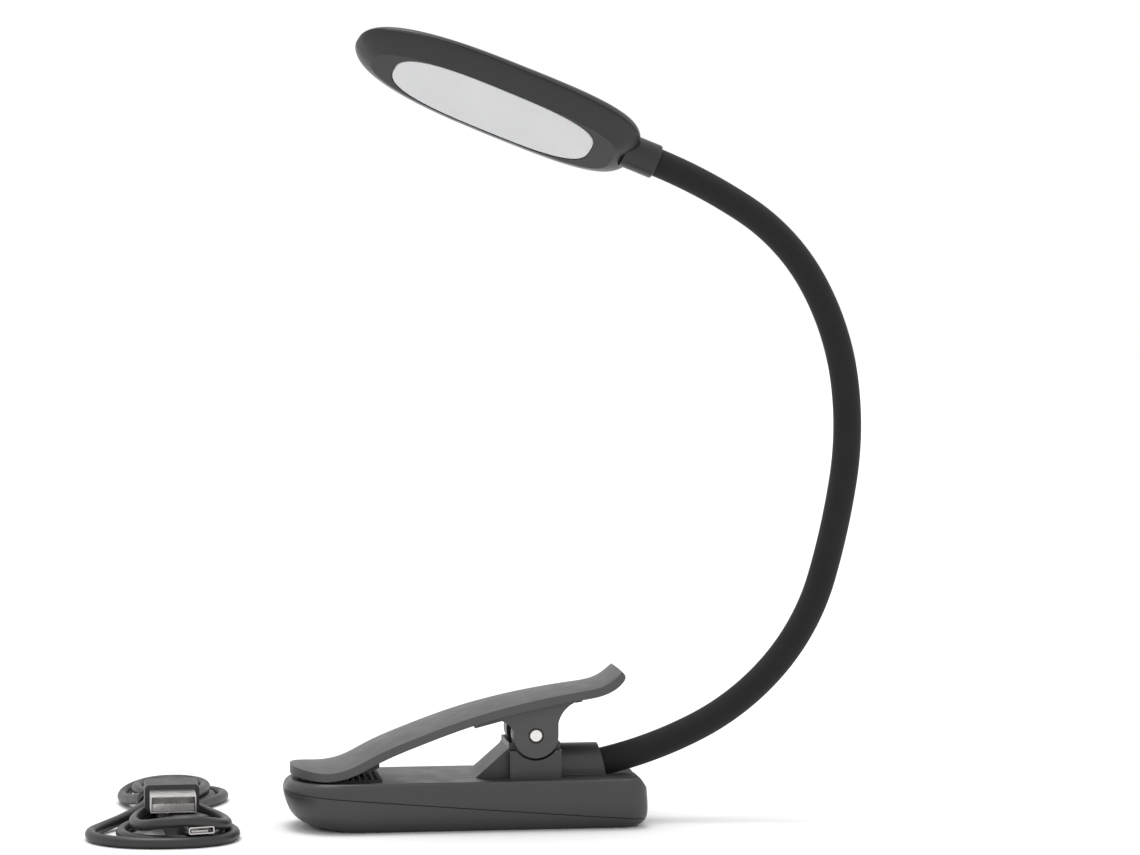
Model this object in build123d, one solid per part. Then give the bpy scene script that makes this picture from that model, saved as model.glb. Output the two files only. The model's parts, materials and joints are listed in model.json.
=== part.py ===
from build123d import *
import os
from math import cos, pi, radians, sin

# Clip-on reading lamp with a bendable neck. Millimetres and degrees, +Z up.
# Origin: centre of the flat underside of the clip's lower jaw. +X runs from the jaw's tip to the
# neck, and the lamp's head hangs back over the jaw's tip.

# ---------------------------------------------------------------- driving dimensions
BASE_HEIGHT = 13.5          # lower jaw, underside to flat top
BASE_WALL = 1.8
FRONT_ROUNDING = 0.84       # front corner radius over half the width
REAR_CORNER = 5.5
REAR_CHAMFER_RUN = 1.9
REAR_CHAMFER_DROP = 2.7
TOP_EDGE_RADIUS = 0.7
PARTING_HEIGHT = 6.5        # of the line between the two shells, at x = 0
PARTING_SLOPE = -0.087      # the line falls towards the neck
PARTING_GAP = 0.2

PIVOT_X = 18.0
PIVOT_Z = 25.0
PIN_RADIUS = 1.75
PIN_LENGTH = 23.2
BORE_CLEARANCE = 0.05
EAR_RADIUS = 6.1
SEAT_RADIUS = 6.7
EAR_INNER_Y = 9.0
EAR_OUTER_Y = 11.5
CHEEK_OUTER_Y = 8.7
SPRING_SLOT_HALF = 4.9
POST_FRONT_X = 10.9
POST_REAR_X = 24.9
POST_SHOULDER_Z = 22.9
SIDE_PLATE_Z = 21.0

LEVER_HALF_WIDTH = 15.0
LEVER_THICKNESS = 2.2
LEVER_CROWN = 1.25          # rise of the lever's top in the middle of its width
LEVER_HOLLOW = 0.9          # rise of its underside

NECK_START = (37.2, 16.11)  # x and z where the neck leaves its socket
NECK_HEADING = 12.0         # degrees above +X at the socket
SPAN = 27.74                # neck length from one sleeve seam to the next
SPAN_TURNS = (14.0, 22.7, 25.0, 7.6, 16.7, 21.3, 27.8, 11.0)
SLEEVE_RADIUS = 3.85
SLEEVE_BORE = 3.05
CORE_RADIUS = 2.9
CORE_BORE = 1.2
DISH_RADIUS = 3.2
WIRE_RADIUS = 0.45
SLEEVE_TUCK = 4.0           # sleeve length hidden in the socket and in the collar

SOCKET_RADIUS = 6.5
SOCKET_AXIS_Z = 15.0

COLLAR_RADIUS = 4.7
COLLAR_LENGTH = 9.4
HEAD_LENGTH = 81.2
HEAD_WIDTH = 32.2
HEAD_POWERS = (3.4, 2.4)    # squareness of the outline at its neck end and at its tip
HEAD_OFFSET = 0.4           # the seam lies this far in front of the neck's axis
HEAD_FRONT = 4.4            # seam to diffuser face
HEAD_BACK = 3.9             # seam to back, at mid length
HEAD_BACK_TILT = 1.4        # degrees; the back is deeper at the neck than at the tip
HEAD_ROLL = 31.0            # degrees the light face is rolled out of the neck's plane
HEAD_WALL = 1.4
HEAD_SEAM = 0.15
COLLAR_OVERLAP = 3.0        # collar length inside the head
DIFFUSER_LENGTH = 57.4
DIFFUSER_WIDTH = 20.6
DIFFUSER_POWERS = (3.1, 2.8)
DIFFUSER_FLANGE = 1.2       # width of the ledge behind the bezel
DIFFUSER_THICKNESS = 1.6
DIFFUSER_ROUNDING = 0.4

LEAD_SPOT = (-80.0, 20.0)   # the tie's place: the tied lead lies beside the jaw's tip
HANK_HEIGHT = 7.6
TIE_HALF_WIDTH = 7.4
TIE_BAND = 0.7
PLUG_FLOOR = 6.1            # the USB plug lies on two layers of the lead
PLUG_WIDTH = 14.5
PLUG_THICKNESS = 7.0

PARTS = {}


# ---------------------------------------------------------------- helpers
def slab(x, y, z):
    """A box from its low and high limits along each axis."""
    size = Box(x[1] - x[0], y[1] - y[0], z[1] - z[0])
    return Pos((x[0] + x[1]) / 2, (y[0] + y[1]) / 2, (z[0] + z[1]) / 2) * size


def across(profile, y_low, y_high):
    """Extrude an XZ face over a range of Y."""
    half = (y_high - y_low) / 2
    return Pos(0, y_low + half, 0) * extrude(Plane.XZ * profile, amount=half, both=True)


def polygon(*points):
    return make_face(Polyline(*points, close=True))


def rod_y(x, z, radius, length, y=0.0):
    """A cylinder along Y."""
    return Pos(x, y, z) * Rot(90, 0, 0) * Cylinder(radius, length)


def mirrored(shape):
    """The shape and its mirror image across the lamp's middle plane."""
    return shape + mirror(shape, about=Plane.XZ)


def rounded_outline(length, width, powers, count=32):
    """A flat outline between an ellipse and a rectangle, with its own squareness at each end."""
    points = []
    for n in range(count):
        angle = 2 * pi * n / count
        along, aside = cos(angle), sin(angle)
        power = powers[0] if along < 0 else powers[1]
        reach = (abs(along) ** power + abs(aside) ** power) ** (-1 / power)
        points.append((reach * along * length / 2, reach * aside * width / 2))
    return make_face(Spline(*points, periodic=True))


# ---------------------------------------------------------------- lower jaw
HULL_SECTIONS = (           # height, half width, front end, rear end
    (0.0, 13.4, -39.4, 45.2),
    (1.4, 15.4, -43.4, 47.6),
    (4.4, 17.2, -47.3, 48.3),
    (8.2, 18.0, -49.0, 48.1),
    (11.4, 17.6, -49.2, 47.9),
    (13.5, 16.5, -47.2, 47.8),
)
PARTING = Plane(origin=(0, 0, PARTING_HEIGHT), z_dir=(-PARTING_SLOPE, 0, 1))


def hull(inset=0.0):
    """The lower jaw's boat-shaped envelope, drawn in all round by the inset."""
    sections = []
    for height, half_width, front, rear in HULL_SECTIONS:
        half = half_width - inset
        outline = Rectangle(rear - front - 2 * inset, 2 * half)
        outline = fillet(outline.vertices().group_by(Axis.X)[0], FRONT_ROUNDING * half)
        outline = fillet(outline.vertices().group_by(Axis.X)[-1], REAR_CORNER - inset)
        sections.append(Pos((front + rear) / 2, 0, height) * outline)
    return loft(sections)


def jaw_body():
    """The closed lower jaw before it is split into its two shells."""
    body = hull()
    body = fillet(body.edges().group_by(Axis.Z)[-1], TOP_EDGE_RADIUS)
    rear = HULL_SECTIONS[-1][3]
    wedge = polygon(
        (rear - REAR_CHAMFER_RUN, BASE_HEIGHT + 0.01),
        (rear + 4, BASE_HEIGHT + 0.01),
        (rear + 4, BASE_HEIGHT - REAR_CHAMFER_DROP * (REAR_CHAMFER_RUN + 4) / REAR_CHAMFER_RUN),
    )
    return body - across(wedge, -30, 30)


def jaw_cavity():
    return hull(BASE_WALL) & slab((-60, 60), (-30, 30), (BASE_WALL, BASE_HEIGHT - BASE_WALL))


def jaw_tongue(inset_low, inset_high, low, high):
    """A ring inside the wall, between two planes parallel to the parting line."""
    ring = hull(inset_low) - hull(inset_high)
    ring = split(ring, PARTING.offset(low), keep=Keep.TOP)
    return split(ring, PARTING.offset(high), keep=Keep.BOTTOM)


SCREW_SPOTS = [(x, y) for x in (-27.0, 40.0) for y in (-12.2, 12.2)]
SCREW_BORE = 1.0
PAD_REAR_X = -23.4
PAD_FRONT_X = -45.4
PAD_HALF_WIDTH = 12.6
PAD_RECESS = 0.9
PORT_Z = 5.9
PORT_HALF = (4.1, 1.7)
LIGHT_PIPE_Y = 8.5
LIGHT_PIPE_RADIUS = 0.9


def pad_outline(inset=0.0):
    outline = Rectangle(PAD_REAR_X - PAD_FRONT_X - 2 * inset, 2 * (PAD_HALF_WIDTH - inset))
    outline = fillet(outline.vertices().group_by(Axis.X)[0], 10.5)
    outline = fillet(outline.vertices().group_by(Axis.X)[-1], 2.0)
    return Pos((PAD_REAR_X + PAD_FRONT_X) / 2, 0) * outline


def neck_mouth_plane():
    """Square to the neck where it leaves the socket, facing along the neck."""
    heading = radians(NECK_HEADING)
    return Plane(
        origin=(NECK_START[0], 0, NECK_START[1]),
        x_dir=(0, 1, 0),
        z_dir=(cos(heading), 0, sin(heading)),
    )


def pivot_post():
    """The post between the lever's ears, its side plates, gusset and the neck's socket."""
    middle = slab((POST_FRONT_X, POST_REAR_X), (-CHEEK_OUTER_Y, CHEEK_OUTER_Y),
                  (BASE_HEIGHT - 0.5, POST_SHOULDER_Z))
    middle += rod_y(PIVOT_X, PIVOT_Z, EAR_RADIUS, 2 * CHEEK_OUTER_Y)
    spring_slot = slab((POST_FRONT_X + 1.8, POST_REAR_X - 1.8),
                       (-SPRING_SLOT_HALF, SPRING_SLOT_HALF), (16.5, 40))
    spring_slot += slab((0, 40), (-SPRING_SLOT_HALF, SPRING_SLOT_HALF), (POST_SHOULDER_Z, 40))
    plate = slab((POST_FRONT_X, POST_REAR_X), (CHEEK_OUTER_Y, EAR_OUTER_Y),
                 (BASE_HEIGHT - 0.5, SIDE_PLATE_Z))
    plate -= rod_y(PIVOT_X, PIVOT_Z, SEAT_RADIUS, 40)
    gusset = across(polygon((1.6, BASE_HEIGHT - 0.3), (POST_FRONT_X + 1, BASE_HEIGHT - 0.3),
                            (POST_FRONT_X + 1, 21.6), (POST_FRONT_X - 0.2, 21.1)), -8.2, 8.2)
    return middle - spring_slot + mirrored(plate) + gusset


def neck_socket():
    """Round-topped block behind the post, cut square to the neck."""
    profile = Circle(SOCKET_RADIUS) + Pos(0, -2) * Rectangle(2 * SOCKET_RADIUS, 4)
    section = Plane(origin=(POST_REAR_X - 0.5, 0, SOCKET_AXIS_Z), x_dir=(0, 1, 0), z_dir=(1, 0, 0))
    block = extrude(section * profile, amount=20)
    block -= slab((0, 60), (-10, 10), (0, BASE_HEIGHT - 3.3))
    return split(block, neck_mouth_plane(), keep=Keep.BOTTOM)


def neck_scoop():
    """The hollow run that lets the neck leave over the rear of the jaw's top."""
    start = neck_mouth_plane().offset(-6)
    return extrude(start * Pos(0, 1.5) * Circle(6.6), amount=15.5)


def base_upper_shell():
    shell = split(jaw_body() - jaw_cavity(), PARTING.offset(PARTING_GAP / 2), keep=Keep.TOP)
    shell -= jaw_tongue(BASE_WALL / 2 - 0.1, BASE_WALL + 0.4, -1.0, 1.4)
    shell += slab((POST_FRONT_X, 46.0), (-8.4, 8.4), (9.4, BASE_HEIGHT - 0.6))
    shell += slab((45.6, 46.7), (-8.4, 8.4), (9.4, BASE_HEIGHT - 1.6))
    shell -= neck_scoop()
    shell += pivot_post()
    shell += neck_socket()
    mouth = neck_mouth_plane()
    shell -= extrude(mouth * Circle(SLEEVE_RADIUS + 0.1), amount=-SLEEVE_TUCK - 0.4)
    shell -= extrude(mouth * Circle(CORE_RADIUS + 0.05), amount=-12.0)
    shell -= Pos(26.4, 0, 12.0) * Cylinder(1.4, 8.0)
    shell -= rod_y(PIVOT_X, PIVOT_Z, PIN_RADIUS + BORE_CLEARANCE, 40)
    shell -= Pos(0, 0, BASE_HEIGHT - PAD_RECESS) * extrude(pad_outline(), amount=2.0)
    for x, y in SCREW_SPOTS:
        boss = Pos(x, y, 7.7) * Cylinder(2.3, 8.2)
        shell += boss - jaw_void_below(x, y)
        shell -= Pos(x, y, 6.8) * Cylinder(SCREW_BORE, 8.4)
    port = Pos(49, 0, PORT_Z) * Box(8, 2 * PORT_HALF[0], 2 * PORT_HALF[1])
    pipe_hole = Pos(47, LIGHT_PIPE_Y, PORT_Z) * Rot(0, 90, 0) * Cylinder(LIGHT_PIPE_RADIUS, 8)
    return shell - port - pipe_hole


def jaw_void_below(x, y):
    """Trims a screw boss to stand clear of the lower shell's own boss."""
    return Pos(x, y, 1.6) * Cylinder(3, 4.0)


def base_lower_shell():
    shell = split(jaw_body() - jaw_cavity(), PARTING.offset(-PARTING_GAP / 2), keep=Keep.BOTTOM)
    shell += jaw_tongue(BASE_WALL / 2, BASE_WALL, -0.6, 1.2)
    for x, y in SCREW_SPOTS:
        shell += Pos(x, y, 1.75) * Cylinder(3.0, 3.5) & hull()
        shell -= Pos(x, y, 0.7) * Cylinder(2.1, 1.8)
        shell -= Pos(x, y, 2.5) * Cylinder(SCREW_BORE + 0.1, 6)
    return shell


def base_screws():
    screws = []
    for x, y in SCREW_SPOTS:
        head = Pos(x, y, 1.0) * Cylinder(1.9, 1.2)
        head -= Pos(x, y, 0.5) * Box(2.2, 0.5, 0.6)
        head -= Pos(x, y, 0.5) * Box(0.5, 2.2, 0.6)
        screws.append(head + Pos(x, y, 5.6) * Cylinder(SCREW_BORE - 0.05, 8.0))
    return screws


def lower_grip_pad():
    """Rubber pad with cross ribs, let into the jaw's top."""
    floor = BASE_HEIGHT - PAD_RECESS
    pad = Pos(0, 0, floor) * extrude(pad_outline(0.1), amount=PAD_RECESS + 0.25)
    rib_pitch = 1.75
    crest = Pos(0, 0, floor) * extrude(pad_outline(0.7), amount=PAD_RECESS + 0.7)
    ribs = []
    for n in range(12):
        ribs.append(rod_y(PAD_REAR_X - 1.1 - n * rib_pitch, BASE_HEIGHT + 0.02, 0.66, 40))
    return pad + (crest & (Part() + ribs))


def battery_cell():
    cell = fillet(Box(42, 18, 5.6).edges().filter_by(Axis.X), 1.6)
    return Pos(-10, 0, 5.4) * cell


def battery_leads():
    leads = []
    for y in (-2.0, 2.0):
        leads.append(Pos(18.0, y, 4.4) * Rot(0, 90, 0) * Cylinder(0.6, 13.4))
    return leads


def charging_board():
    board = Pos(34.8, 0, 3.6) * Box(20, 18, 1.0)
    chip = Pos(31.8, 3.5, 4.6) * Box(5, 4, 1.0)
    choke = Pos(30.8, -5.0, 5.1) * Box(4, 4, 2.0)
    return board + chip + choke


def micro_usb_socket():
    """Folded steel shell with its mouth in the jaw's rear wall."""
    outline = RectangleRounded(7.4, 2.7, 0.8)
    inner = RectangleRounded(6.8, 2.1, 0.5)
    start = Plane(origin=(42.1, 0, PORT_Z), x_dir=(0, 1, 0), z_dir=(1, 0, 0))
    shell = extrude(start * outline, amount=5.6) - extrude(start.offset(1.0) * inner, amount=6)
    tongue = Pos(45.1, 0, PORT_Z) * Box(4.2, 4.6, 0.7)
    foot = slab((42.3, 44.3), (-3.0, 3.0), (4.1, PORT_Z - 1.0))
    return shell + tongue + foot


def charge_light_pipe():
    pipe = Pos(45.3, LIGHT_PIPE_Y, PORT_Z) * Rot(0, 90, 0) * Cylinder(LIGHT_PIPE_RADIUS - 0.05, 5.0)
    foot = slab((42.8, 44.2), (LIGHT_PIPE_Y - 0.7, LIGHT_PIPE_Y + 0.7), (4.1, PORT_Z))
    return pipe + foot


def pivot_pin():
    pin = rod_y(PIVOT_X, PIVOT_Z, PIN_RADIUS, PIN_LENGTH)
    return chamfer(pin.edges().filter_by(GeomType.CIRCLE), 0.25)


def torsion_spring():
    """Coil about the pin, with one leg on the post and one under the lever."""
    coil = rod_y(PIVOT_X, PIVOT_Z, 4.4, 7.2) - rod_y(PIVOT_X, PIVOT_Z, 3.2, 10)
    lever_leg = Plane(origin=(PIVOT_X, -3.0, PIVOT_Z + 3.8), z_dir=(-1, 0, 0.12))
    post_leg = Plane(origin=(PIVOT_X - 3.8, 3.0, PIVOT_Z), z_dir=(0, 0, -1))
    coil += extrude(lever_leg * Circle(0.55), amount=7.4)
    coil += extrude(post_leg * Circle(0.55), amount=8.3)
    return coil


# ---------------------------------------------------------------- clip lever
LEVER_PATH = (              # underside of the lever at its edges, x and z, tip to thumb tab
    (-49.6, 13.9),
    (-43.0, 13.85),
    (-37.0, 13.95),
    (-32.0, 15.1),
    (-24.8, 18.6),
    (-14.6, 22.9),
    (-0.9, 27.7),
    (9.6, 30.5),
    (20.0, 32.6),
    (30.7, 34.2),
    (36.4, 35.2),
    (40.0, 36.8),
    (43.6, 39.7),
)


def lever_plan():
    """Outline of the lever from above: round tip, tapering to a blunt thumb tab."""
    tip_x, tab_x = -37.0, 42.9
    side = ((tip_x, LEVER_HALF_WIDTH), (-10, LEVER_HALF_WIDTH), (PIVOT_X, 13.6), (tab_x, 11.0))
    other_side = [(x, -y) for x, y in side]
    edges = [
        EllipticalCenterArc((tip_x, 0), 10.6, LEVER_HALF_WIDTH, start_angle=90, arc_size=180),
        Spline(*side, tangents=[(1, 0), (1, -0.12)]),
        Line(side[-1], other_side[-1]),
        Spline(*other_side, tangents=[(1, 0), (1, 0.12)]),
    ]
    plan = make_face(edges)
    return fillet(plan.vertices().group_by(Axis.X)[-1], 3.5)


def lever_band():
    """The crowned strip swept along the lever's side view and trimmed to its plan."""
    path = Spline(*[(x, 0, z) for x, z in LEVER_PATH], tangents=[(1, 0, 0), (1, 0, 0.9)])
    half = LEVER_HALF_WIDTH + 1
    top = LEVER_THICKNESS
    section = make_face([
        ThreePointArc((-half, 0), (0, LEVER_HOLLOW), (half, 0)),
        Line((half, 0), (half, top)),
        ThreePointArc((half, top), (0, top + LEVER_CROWN), (-half, top)),
        Line((-half, top), (-half, 0)),
    ])
    start = Plane(origin=path @ 0, x_dir=(0, 1, 0), z_dir=path % 0)
    band = sweep(start * section, path=path)
    return band & Pos(0, 0, 5) * extrude(lever_plan(), amount=50)


def lever_ear():
    """One ear, round about the pin and flared into the lever's underside."""
    left = PIVOT_X - EAR_RADIUS
    right = PIVOT_X + EAR_RADIUS
    profile = make_face([
        Line((left, PIVOT_Z), (left + 0.1, PIVOT_Z + 1.0)),
        ThreePointArc((left + 0.1, PIVOT_Z + 1.0), (left - 1.7, 28.3), (6.0, 29.6)),
        Line((6.0, 29.6), (6.0, 30.4)),
        Spline((6.0, 30.4), (PIVOT_X, 33.3), (32.0, 35.7)),
        Line((32.0, 35.7), (32.0, 34.6)),
        ThreePointArc((32.0, 34.6), (26.4, 32.4), (right, 28.4)),
        Line((right, 28.4), (right, PIVOT_Z)),
        ThreePointArc((right, PIVOT_Z), (PIVOT_X, PIVOT_Z - EAR_RADIUS), (left, PIVOT_Z)),
    ])
    return across(profile, EAR_INNER_Y, EAR_OUTER_Y)


def clip_lever():
    lever = lever_band() + mirrored(lever_ear())
    lever += across(polygon((0.6, 29.6), (1.5, 27.3), (9.8, 29.4), (9.8, 31.8)), -EAR_OUTER_Y, EAR_OUTER_Y)
    lever += across(polygon((29.0, 35.6), (29.4, 33.2), (31.2, 33.5), (31.6, 36.0)), -7, 7)
    lever -= rod_y(PIVOT_X, PIVOT_Z, PIN_RADIUS + BORE_CLEARANCE, 40)
    ring = rod_y(PIVOT_X, PIVOT_Z, PIN_RADIUS + 0.35, 1.4, y=EAR_OUTER_Y)
    return lever - mirrored(ring) - upper_grip_pad()


def upper_grip_pad():
    """Rubber pad let into the lever's underside, facing the lower pad."""
    profile = polygon(
        (-45.4, 14.5), (-34.6, 14.5), (-26.0, 16.6), (-24.4, 17.3),
        (-24.4, 19.6), (-28.2, 17.8), (-32.0, 16.1), (-35.0, 15.2), (-45.4, 15.1),
    )
    outline = Pos(0, 0, 5) * extrude(pad_outline(), amount=30)
    return across(profile, -20, 20) & outline


# ---------------------------------------------------------------- neck
def neck_station(distance):
    """Centre point and heading of the neck, at a distance along it from the socket's mouth."""
    x, z = NECK_START
    heading = NECK_HEADING
    for turn in SPAN_TURNS:
        step = min(max(distance, 0.0), SPAN)
        angle = turn * step / SPAN
        radius = SPAN / radians(turn)
        chord = 2 * radius * sin(radians(angle) / 2)
        x += chord * cos(radians(heading + angle / 2))
        z += chord * sin(radians(heading + angle / 2))
        heading += angle
        distance -= step
        if distance <= 0:
            break
    x += distance * cos(radians(heading))
    z += distance * sin(radians(heading))
    return Vector(x, 0, z), heading


def neck_plane(distance):
    """Square to the neck; local X is the lamp's Y."""
    point, heading = neck_station(distance)
    direction = (cos(radians(heading)), 0, sin(radians(heading)))
    return Plane(origin=point, x_dir=(0, 1, 0), z_dir=direction)


def neck_path(start, end):
    """Tangent arcs along the neck's centreline, with a break at each seam."""
    total = SPAN * len(SPAN_TURNS)
    breaks = [n * SPAN for n in range(len(SPAN_TURNS) + 1)]
    stops = [start] + [b for b in breaks if start + 0.01 < b < end - 0.01] + [end]
    edges = []
    for low, high in zip(stops[:-1], stops[1:]):
        first, last = neck_station(low)[0], neck_station(high)[0]
        if low < 0 or high > total:
            edges.append(Line(first, last))
        else:
            edges.append(ThreePointArc(first, neck_station((low + high) / 2)[0], last))
    return Wire(edges)


def neck_rod(start, end, radius, offset=0.0):
    section = neck_plane(start) * Pos(offset, 0) * Circle(radius)
    return sweep(section, path=neck_path(start, end))


def joint_station(number):
    """Distance along the neck of joint 1 to 8, each in the middle of a span."""
    return SPAN * (number - 0.5)


def neck_ball(number, radius):
    return Pos(*neck_station(joint_station(number))[0]) * Sphere(radius)


def neck_sleeve(number):
    """Silicone sleeve from seam to seam; the end ones tuck into the socket and the collar."""
    gap = 0.05
    start = (number - 1) * SPAN + gap
    end = number * SPAN - gap
    if number == 1:
        start = -SLEEVE_TUCK
    if number == len(SPAN_TURNS):
        end = number * SPAN + SLEEVE_TUCK
    return neck_rod(start, end, SLEEVE_RADIUS) - neck_rod(start, end, SLEEVE_BORE)


def neck_wires(number):
    """The lamp's two supply wires, seam to seam."""
    start = (number - 1) * SPAN + 0.05
    end = number * SPAN - 0.05
    return [neck_rod(start, end, WIRE_RADIUS, offset) for offset in (-0.5, 0.5)]


def neck_core(number):
    """Steel flexible core between two joints: a ball at its lower end, a dish at its upper."""
    start = joint_station(number)
    last = number == len(SPAN_TURNS)
    end = SPAN * number + COLLAR_LENGTH - 0.2 if last else joint_station(number + 1)
    core = neck_rod(start, end, CORE_RADIUS) + neck_ball(number, CORE_RADIUS)
    if not last:
        core -= neck_ball(number + 1, DISH_RADIUS)
    return core - neck_rod(start - 4, end, CORE_BORE)


def neck_anchor():
    """Steel root of the neck's core, pressed into the socket."""
    end = joint_station(1)
    return neck_rod(-11.8, end, CORE_RADIUS) - neck_ball(1, DISH_RADIUS) - neck_rod(-11.8, end, CORE_BORE)


# ---------------------------------------------------------------- head
NECK_END, HEAD_HEADING = neck_station(SPAN * len(SPAN_TURNS))
HEAD_AXIS = Vector(cos(radians(HEAD_HEADING)), 0, sin(radians(HEAD_HEADING)))
HEAD_NORMAL = (
    Vector(-sin(radians(HEAD_HEADING)), 0, cos(radians(HEAD_HEADING))) * cos(radians(HEAD_ROLL))
    + Vector(0, -1, 0) * sin(radians(HEAD_ROLL))
)
HEAD_CENTRE = (
    NECK_END
    + HEAD_AXIS * (COLLAR_LENGTH - COLLAR_OVERLAP + HEAD_LENGTH / 2)
    + HEAD_NORMAL * HEAD_OFFSET
)
HEAD_PLANE = Plane(origin=HEAD_CENTRE, x_dir=HEAD_AXIS, z_dir=HEAD_NORMAL)
BACK_SECTIONS = (           # height from the seam, how far the outline draws in
    (0.0, 0.0),
    (-1.5, 0.5),
    (-2.9, 2.2),
    (-HEAD_BACK, 5.2),
)
FRONT_SECTIONS = (
    (0.0, 0.0),
    (1.3, 0.8),
    (2.6, 2.2),
    (3.7, 4.0),
    (HEAD_FRONT, 5.5),
)
BOARD_SCREW_X = (-18.0, 18.0)
BOARD_SCREW_RADIUS = 0.85


def head_layers(sections, inset=0.0, tilt=0.0):
    """Loft the head's outline from the seam outwards, turning it little by little to the tilt."""
    layers = []
    for height, draw in sections:
        shrink = 2 * (draw + inset)
        outline = rounded_outline(HEAD_LENGTH - shrink, HEAD_WIDTH - shrink, HEAD_POWERS)
        share = height / sections[-1][0]
        layers.append(Pos(0, 0, height) * Rot(0, -tilt * share, 0) * outline)
    return loft(layers)


def collar_room():
    """The round notch that takes the collar's overlap."""
    room = Rot(0, 90, 0) * Cylinder(COLLAR_RADIUS + 0.05, 2 * COLLAR_OVERLAP)
    return Pos(-HEAD_LENGTH / 2, 0, -HEAD_OFFSET) * room


def head_back_shell():
    outer = head_layers(BACK_SECTIONS, tilt=HEAD_BACK_TILT)
    outer = split(outer, Plane.XY.offset(-HEAD_SEAM / 2), keep=Keep.BOTTOM)
    hollow = head_layers(BACK_SECTIONS, HEAD_WALL, HEAD_BACK_TILT)
    floor = Plane(Pos(0, 0, HEAD_WALL - HEAD_BACK) * Rot(0, -HEAD_BACK_TILT, 0))
    hollow = split(hollow, floor, keep=Keep.TOP)
    shell = outer - hollow - collar_room()
    for x in BOARD_SCREW_X:
        shell += Pos(x, 0, -2.3) * Cylinder(1.8, 1.6)
        shell -= Pos(x, 0, -2.0) * Cylinder(BOARD_SCREW_RADIUS, 1.9)
    return shell


def head_bezel():
    outer = head_layers(FRONT_SECTIONS)
    outer = split(outer, Plane.XY.offset(HEAD_SEAM / 2), keep=Keep.TOP)
    hollow = head_layers(FRONT_SECTIONS, HEAD_WALL)
    hollow = split(hollow, Plane.XY.offset(HEAD_FRONT - HEAD_WALL), keep=Keep.BOTTOM)
    window = extrude(diffuser_outline(0.1), amount=10)
    return outer - hollow - window - collar_room()


def diffuser_outline(margin=0.0):
    return rounded_outline(DIFFUSER_LENGTH + 2 * margin, DIFFUSER_WIDTH + 2 * margin, DIFFUSER_POWERS)


def diffuser():
    """Milky window with a flange behind the bezel."""
    face = extrude(diffuser_outline(), amount=-DIFFUSER_THICKNESS)
    face = fillet(face.edges().group_by(Axis.Z)[-1], DIFFUSER_ROUNDING)
    flange = extrude(diffuser_outline(DIFFUSER_FLANGE), amount=-0.8)
    return Pos(0, 0, HEAD_FRONT) * face + Pos(0, 0, HEAD_FRONT - HEAD_WALL) * flange


def reflector_frame():
    height = HEAD_FRONT - HEAD_WALL - 0.8 + 0.6
    frame = extrude(diffuser_outline(DIFFUSER_FLANGE), amount=height)
    return Pos(0, 0, -0.6) * (frame - extrude(diffuser_outline(), amount=height))


def led_board():
    board = Pos(-3, 0, -1.5) * extrude(rounded_outline(64, 22, HEAD_POWERS), amount=0.9)
    for x in BOARD_SCREW_X:
        board -= Pos(x, 0, -1) * Cylinder(BOARD_SCREW_RADIUS, 4)
    return board


def led_chips():
    chips = []
    for row in (-4.6, 4.6):
        for n in range(8):
            chips.append(Pos((n - 3.5) * 6.4, row, -0.2) * Box(2.8, 3.5, 0.8))
    return chips


def head_screws():
    screws = []
    for x in BOARD_SCREW_X:
        shank = Pos(x, 0, -1.5) * Cylinder(BOARD_SCREW_RADIUS - 0.05, 1.8)
        screws.append(Pos(x, 0, -0.2) * Cylinder(1.5, 0.8) + shank)
    return screws


def touch_spring():
    """Contact under the bezel's touch spot, standing on the board."""
    return Pos(-32.3, 0, -0.6) * extrude(Circle(1.5) - Circle(1.1), amount=3.4)


def head_collar():
    """Ferrule between the neck and the head; it turns with the head on the neck's core."""
    mouth = neck_plane(SPAN * len(SPAN_TURNS))
    collar = extrude(mouth * Circle(COLLAR_RADIUS), amount=COLLAR_LENGTH)
    rim = collar.edges().filter_by(GeomType.CIRCLE).sort_by(Axis.X)[-1]
    collar = fillet(rim, 0.6)
    collar -= extrude(mouth * Circle(SLEEVE_RADIUS + 0.1), amount=SLEEVE_TUCK + 0.3)
    return collar - extrude(mouth * Circle(CORE_RADIUS + 0.06), amount=COLLAR_LENGTH + 1)


# ---------------------------------------------------------------- charging lead, tied up beside the lamp
def lead_tie():
    """Twist tie round the waist of the tied lead."""
    height = HANK_HEIGHT + TIE_BAND
    outer = Plane.XZ * Pos(0, height / 2) * RectangleRounded(2 * TIE_HALF_WIDTH, height, 3.0)
    inner = Plane.XZ * Pos(0, height / 2) * RectangleRounded(
        2 * (TIE_HALF_WIDTH - TIE_BAND), height - 2 * TIE_BAND, 2.3)
    return extrude(outer - inner, amount=1.5, both=True)


def usb_a_plug():
    """Moulded grip with the lead's short neck at its rear."""
    grip = Pos(0.5, -20.9, PLUG_FLOOR + PLUG_THICKNESS / 2) * Box(PLUG_WIDTH, 13.0, PLUG_THICKNESS)
    grip = fillet(grip.edges().filter_by(Axis.Y), 1.2)
    neck = Pos(0.5, -11.6, PLUG_FLOOR + PLUG_THICKNESS / 2) * Box(5.6, 5.6, 4.6)
    return grip + fillet(neck.edges().filter_by(Axis.Y), 1.0)


def usb_a_shell():
    """Steel mouth with two latch holes, and the contact tongue inside it."""
    middle = PLUG_FLOOR + PLUG_THICKNESS / 2
    start = Plane(origin=(0.5, -27.4, middle), x_dir=(1, 0, 0), z_dir=(0, -1, 0))
    shell = extrude(start * Rectangle(12.0, 4.5), amount=12.0)
    shell -= extrude(start.offset(1.0) * Rectangle(11.4, 3.9), amount=12.0)
    for x in (-2.5, 3.5):
        shell -= Pos(x, -33.0, middle + 2.2) * Box(2.2, 2.0, 1.0)
    return shell + Pos(0.5, -33.2, middle - 0.9) * Box(11.0, 10.4, 1.9)


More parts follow.
